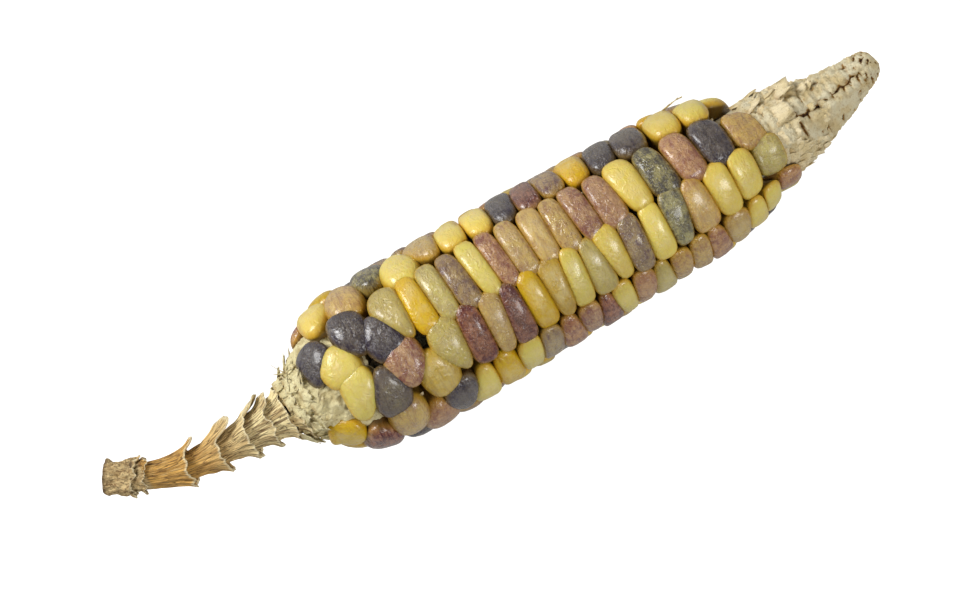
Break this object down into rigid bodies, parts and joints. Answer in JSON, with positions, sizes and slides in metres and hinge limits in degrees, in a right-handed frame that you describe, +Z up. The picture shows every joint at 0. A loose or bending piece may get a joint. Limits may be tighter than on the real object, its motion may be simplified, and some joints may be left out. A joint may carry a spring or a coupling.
{
  "type": "corn cob",
  "caption": "Dried multicoloured flint corn cob with rows of glossy kernels, a bare chaffy tip and a stub of shank with torn husk sheaths, lying on its side.",
  "frame": {"origin": "the middle of the underside of the cob's box, on the surface that it lies on", "axes": "+X along the cob towards its tip, +Z up, +Y to the side that the tip and the shank curve to"},
  "size_m": [0.1744, 0.0342, 0.0341],
  "materials": {
    "kernels": "glossy translucent kernels in cream, tan, salmon, mauve, golden, maroon and slate",
    "cob": "dry matt cream chaff",
    "shank": "dry striated brown stem and husk"
  },
  "bodies": {
    "root": {"kernel_row_1": "kernels", "kernel_row_2": "kernels", "kernel_row_3": "kernels", "kernel_row_4": "kernels", "kernel_row_5": "kernels", "kernel_row_6": "kernels", "kernel_row_7": "kernels", "kernel_row_8": "kernels", "cob": "cob", "shank": "shank"}
  },
  "joints": []
}
